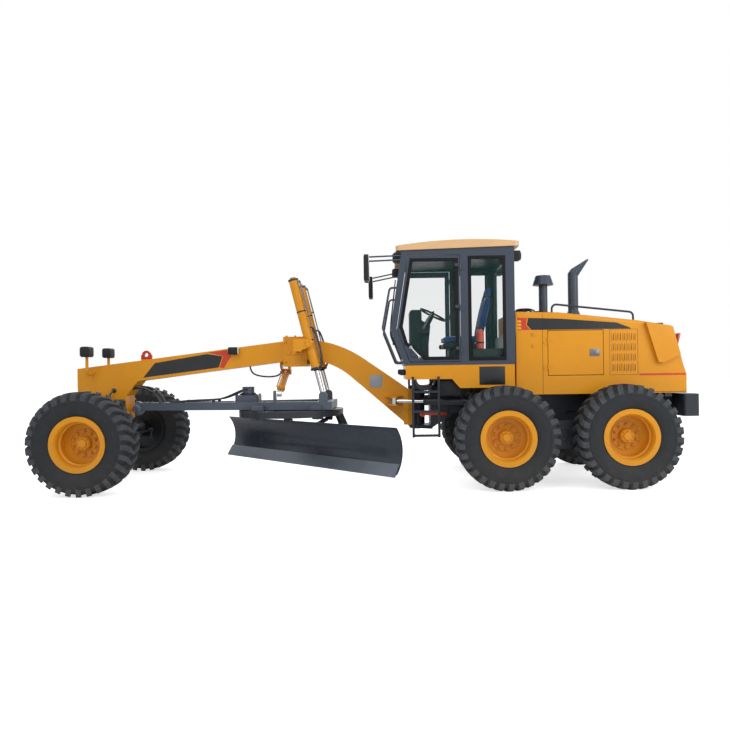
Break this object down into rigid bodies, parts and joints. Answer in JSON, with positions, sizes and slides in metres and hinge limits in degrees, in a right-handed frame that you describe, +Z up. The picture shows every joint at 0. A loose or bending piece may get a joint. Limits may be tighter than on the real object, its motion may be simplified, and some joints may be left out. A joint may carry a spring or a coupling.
{
  "type": "motor grader",
  "caption": "Motor grader with an articulated frame, leaning front wheels, tandem drive, cab, hood and a turning blade slung under an arched beam.",
  "frame": {"origin": "on the ground, under the middle of the machine's overall length and width", "axes": "+X forwards, +Y to the machine's left, +Z up"},
  "size_m": [8.684, 2.6259, 3.2523],
  "materials": {
    "yellow_paint": "gloss yellow paint",
    "roof_paint": "pale yellow moulded roof",
    "dark_paint": "dark blue-grey paint",
    "tyre": "matte rubber",
    "chrome_rod": "hard chrome",
    "edge_steel": "wear steel",
    "glass": "tinted safety glass",
    "seat_fabric": "blue cloth",
    "console_plastic": "black moulded plastic",
    "engine_iron": "painted cast iron"
  },
  "bodies": {
    "rear": {"rear_frame": "dark_paint", "tandem_drive": "dark_paint", "engine": "engine_iron", "cab_floor": "yellow_paint", "cab_frame": "dark_paint", "cab_roof": "roof_paint", "glass_front": "glass", "glass_rear": "glass", "glass_side_left": "glass", "glass_side_right": "glass", "seat": "seat_fabric", "console": "console_plastic", "hood": "yellow_paint", "exhaust": "dark_paint", "air_cleaner": "dark_paint", "counterweight": "dark_paint"},
    "front": {"front_frame": "yellow_paint", "saddle": "yellow_paint", "front_axle": "dark_paint"},
    "lean_bar": {"lean_bar": "dark_paint"},
    "tie_rod": {"tie_rod": "dark_paint"},
    "drawbar": {"drawbar": "dark_paint"},
    "circle": {"circle": "dark_paint"},
    "blade_carrier": {"blade_carrier": "dark_paint"},
    "blade": {"moldboard": "dark_paint", "cutting_edge": "edge_steel"},
    "shift_barrel": {"shift_barrel": "dark_paint"},
    "shift_rod": {"shift_rod": "chrome_rod"},
    "tip_barrel": {"tip_barrel": "dark_paint"},
    "tip_rod": {"tip_rod": "chrome_rod"},
    "cab_door_left": {"cab_door_left": "dark_paint", "door_glass_left": "glass"},
    "hood_door_left": {"hood_door_left": "yellow_paint"},
    "lean_post_left": {"lean_post_left": "dark_paint"},
    "knuckle_left": {"knuckle_left": "dark_paint"},
    "lift_barrel_left": {"lift_barrel_left": "yellow_paint"},
    "lift_rod_left": {"lift_rod_left": "chrome_rod"},
    "articulation_barrel_left": {"articulation_barrel_left": "dark_paint"},
    "articulation_rod_left": {"articulation_rod_left": "chrome_rod"},
    "wheel_front_left": {"tyre_front_left": "tyre", "rim_front_left": "yellow_paint"},
    "wheel_mid_left": {"tyre_mid_left": "tyre", "rim_mid_left": "yellow_paint"},
    "wheel_rear_left": {"tyre_rear_left": "tyre", "rim_rear_left": "yellow_paint"},
    "cab_door_right": {"cab_door_right": "dark_paint", "door_glass_right": "glass"},
    "hood_door_right": {"hood_door_right": "yellow_paint"},
    "lean_post_right": {"lean_post_right": "dark_paint"},
    "knuckle_right": {"knuckle_right": "dark_paint"},
    "lift_barrel_right": {"lift_barrel_right": "yellow_paint"},
    "lift_rod_right": {"lift_rod_right": "chrome_rod"},
    "articulation_barrel_right": {"articulation_barrel_right": "dark_paint"},
    "articulation_rod_right": {"articulation_rod_right": "chrome_rod"},
    "wheel_front_right": {"tyre_front_right": "tyre", "rim_front_right": "yellow_paint"},
    "wheel_mid_right": {"tyre_mid_right": "tyre", "rim_mid_right": "yellow_paint"},
    "wheel_rear_right": {"tyre_rear_right": "tyre", "rim_rear_right": "yellow_paint"}
  },
  "joints": [
    {"name": "articulation", "type": "hinge", "parent": "rear", "child": "front", "pos_m": [-0.62, 0, 1], "axis": [0, 0, 1], "range_deg": [-27, 27]},
    {"name": "articulation_barrel_left_turn", "type": "hinge", "parent": "rear", "child": "articulation_barrel_left", "pos_m": [-1.33, 0.56, 1.11], "axis": [0, 0, 1], "range_deg": [-6.34, 6.34]},
    {"name": "articulation_rod_left_slide", "type": "slide", "parent": "articulation_barrel_left", "child": "articulation_rod_left", "axis": [0.9762, -0.2169, 0], "range_m": [-0.18535, 0.18535]},
    {"name": "articulation_barrel_right_turn", "type": "hinge", "parent": "rear", "child": "articulation_barrel_right", "pos_m": [-1.33, -0.56, 1.11], "axis": [0, 0, 1], "range_deg": [-6.34, 6.34]},
    {"name": "articulation_rod_right_slide", "type": "slide", "parent": "articulation_barrel_right", "child": "articulation_rod_right", "axis": [0.9762, 0.2169, 0], "range_m": [-0.18535, 0.18535]},
    {"name": "lean_left", "type": "hinge", "parent": "front", "child": "lean_post_left", "pos_m": [3.68, 0.8, 0.662], "axis": [1, 0, 0], "range_deg": [-17, 17]},
    {"name": "steer_left", "type": "hinge", "parent": "lean_post_left", "child": "knuckle_left", "pos_m": [3.68, 0.8, 0.662], "axis": [0, 0, 1], "range_deg": [-50, 50]},
    {"name": "wheel_front_left_roll", "type": "hinge", "parent": "knuckle_left", "child": "wheel_front_left", "pos_m": [3.68, 1.078, 0.662], "axis": [0, 1, 0], "continuous": true},
    {"name": "wheel_mid_left_roll", "type": "hinge", "parent": "rear", "child": "wheel_mid_left", "pos_m": [-1.711, 1.078, 0.662], "axis": [0, 1, 0], "continuous": true},
    {"name": "wheel_rear_left_roll", "type": "hinge", "parent": "rear", "child": "wheel_rear_left", "pos_m": [-3.249, 1.078, 0.662], "axis": [0, 1, 0], "continuous": true},
    {"name": "lean_right", "type": "hinge", "parent": "front", "child": "lean_post_right", "pos_m": [3.68, -0.8, 0.662], "axis": [1, 0, 0], "range_deg": [-17, 17]},
    {"name": "steer_right", "type": "hinge", "parent": "lean_post_right", "child": "knuckle_right", "pos_m": [3.68, -0.8, 0.662], "axis": [0, 0, 1], "range_deg": [-50, 50]},
    {"name": "wheel_front_right_roll", "type": "hinge", "parent": "knuckle_right", "child": "wheel_front_right", "pos_m": [3.68, -1.078, 0.662], "axis": [0, 1, 0], "continuous": true},
    {"name": "wheel_mid_right_roll", "type": "hinge", "parent": "rear", "child": "wheel_mid_right", "pos_m": [-1.711, -1.078, 0.662], "axis": [0, 1, 0], "continuous": true},
    {"name": "wheel_rear_right_roll", "type": "hinge", "parent": "rear", "child": "wheel_rear_right", "pos_m": [-3.249, -1.078, 0.662], "axis": [0, 1, 0], "continuous": true},
    {"name": "lean_bar_slide", "type": "slide", "parent": "front", "child": "lean_bar", "axis": [0, -1, 0], "range_m": [-0.04386, 0.04386]},
    {"name": "tie_rod_slide", "type": "slide", "parent": "front", "child": "tie_rod", "axis": [0, -1, 0], "range_m": [-0.13789, 0.13789]},
    {"name": "drawbar_lift", "type": "hinge", "parent": "front", "child": "drawbar", "pos_m": [3.395, 0, 1.04], "axis": [0, 1, 0], "range_deg": [-17, 5]},
    {"name": "lift_barrel_left_turn", "type": "hinge", "parent": "front", "child": "lift_barrel_left", "pos_m": [0.862, 0.4, 1.925], "axis": [0, 1, 0], "range_deg": [-9.96, 2.93]},
    {"name": "lift_rod_left_slide", "type": "slide", "parent": "lift_barrel_left", "child": "lift_rod_left", "axis": [-0.2387, 0, -0.9711], "range_m": [-0.23083, 0.78483]},
    {"name": "lift_barrel_right_turn", "type": "hinge", "parent": "front", "child": "lift_barrel_right", "pos_m": [0.862, -0.4, 1.925], "axis": [0, 1, 0], "range_deg": [-9.96, 2.93]},
    {"name": "lift_rod_right_slide", "type": "slide", "parent": "lift_barrel_right", "child": "lift_rod_right", "axis": [-0.2387, 0, -0.9711], "range_m": [-0.23083, 0.78483]},
    {"name": "shift_barrel_turn", "type": "hinge", "parent": "front", "child": "shift_barrel", "pos_m": [1.3, -0.33, 1.54], "axis": [1, 0, 0], "range_deg": [-32.24, 9.48]},
    {"name": "shift_rod_slide", "type": "slide", "parent": "shift_barrel", "child": "shift_rod", "axis": [0, 0.9078, -0.4195], "range_m": [-0.10479, 0.3563]},
    {"name": "circle_turn", "type": "hinge", "parent": "drawbar", "child": "circle", "pos_m": [1.18, 0, 0.96], "axis": [0, 0, 1], "continuous": true},
    {"name": "blade_tip", "type": "hinge", "parent": "circle", "child": "blade_carrier", "pos_m": [0.98222, -0.21209, 0.35], "axis": [-0.7314, 0.682, 0], "range_deg": [-16, 16]},
    {"name": "blade_shift", "type": "slide", "parent": "blade_carrier", "child": "blade", "axis": [-0.7314, 0.682, 0], "range_m": [-0.5, 0.5]},
    {"name": "tip_barrel_turn", "type": "hinge", "parent": "circle", "child": "tip_barrel", "pos_m": [0.69237, -0.52292, 0.83], "axis": [-0.7314, 0.682, 0], "range_deg": [-5.86, 5.86]},
    {"name": "tip_rod_slide", "type": "slide", "parent": "tip_barrel", "child": "tip_rod", "axis": [0.6453, 0.692, -0.3237], "range_m": [-0.08277, 0.08277]},
    {"name": "cab_door_left_swing", "type": "hinge", "parent": "rear", "child": "cab_door_left", "pos_m": [-1.181, 0.794, 2.35], "axis": [0, 0, 1], "range_deg": [0, 90]},
    {"name": "hood_door_left_swing", "type": "hinge", "parent": "rear", "child": "hood_door_left", "pos_m": [-2.349, 0.712, 1.74], "axis": [0, 0, -1], "range_deg": [0, 100]},
    {"name": "cab_door_right_swing", "type": "hinge", "parent": "rear", "child": "cab_door_right", "pos_m": [-1.181, -0.794, 2.35], "axis": [0, 0, -1], "range_deg": [0, 90]},
    {"name": "hood_door_right_swing", "type": "hinge", "parent": "rear", "child": "hood_door_right", "pos_m": [-2.349, -0.712, 1.74], "axis": [0, 0, 1], "range_deg": [0, 100]}
  ],
  "couplings": [
    {"joint": "articulation_barrel_left_turn", "follows": "articulation", "ratio": 0.23497},
    {"joint": "articulation_rod_left_slide", "follows": "articulation", "m_per_rad": -0.39332},
    {"joint": "articulation_barrel_right_turn", "follows": "articulation", "ratio": 0.23497},
    {"joint": "articulation_rod_right_slide", "follows": "articulation", "m_per_rad": 0.39332},
    {"joint": "lean_right", "follows": "lean_left", "ratio": 1},
    {"joint": "steer_right", "follows": "steer_left", "ratio": 1},
    {"joint": "lean_bar_slide", "follows": "lean_left", "m_per_rad": 0.14781},
    {"joint": "tie_rod_slide", "follows": "steer_left", "m_per_rad": 0.15801},
    {"joint": "lift_barrel_left_turn", "follows": "drawbar_lift", "ratio": 0.58587},
    {"joint": "lift_rod_left_slide", "follows": "drawbar_lift", "m_per_rad": -2.6452},
    {"joint": "lift_barrel_right_turn", "follows": "drawbar_lift", "ratio": 0.58587},
    {"joint": "lift_rod_right_slide", "follows": "drawbar_lift", "m_per_rad": -2.6452},
    {"joint": "shift_barrel_turn", "follows": "drawbar_lift", "ratio": 1.8966},
    {"joint": "shift_rod_slide", "follows": "drawbar_lift", "m_per_rad": -1.2008},
    {"joint": "tip_barrel_turn", "follows": "blade_tip", "ratio": -0.36649},
    {"joint": "tip_rod_slide", "follows": "blade_tip", "m_per_rad": 0.2964}
  ]
}
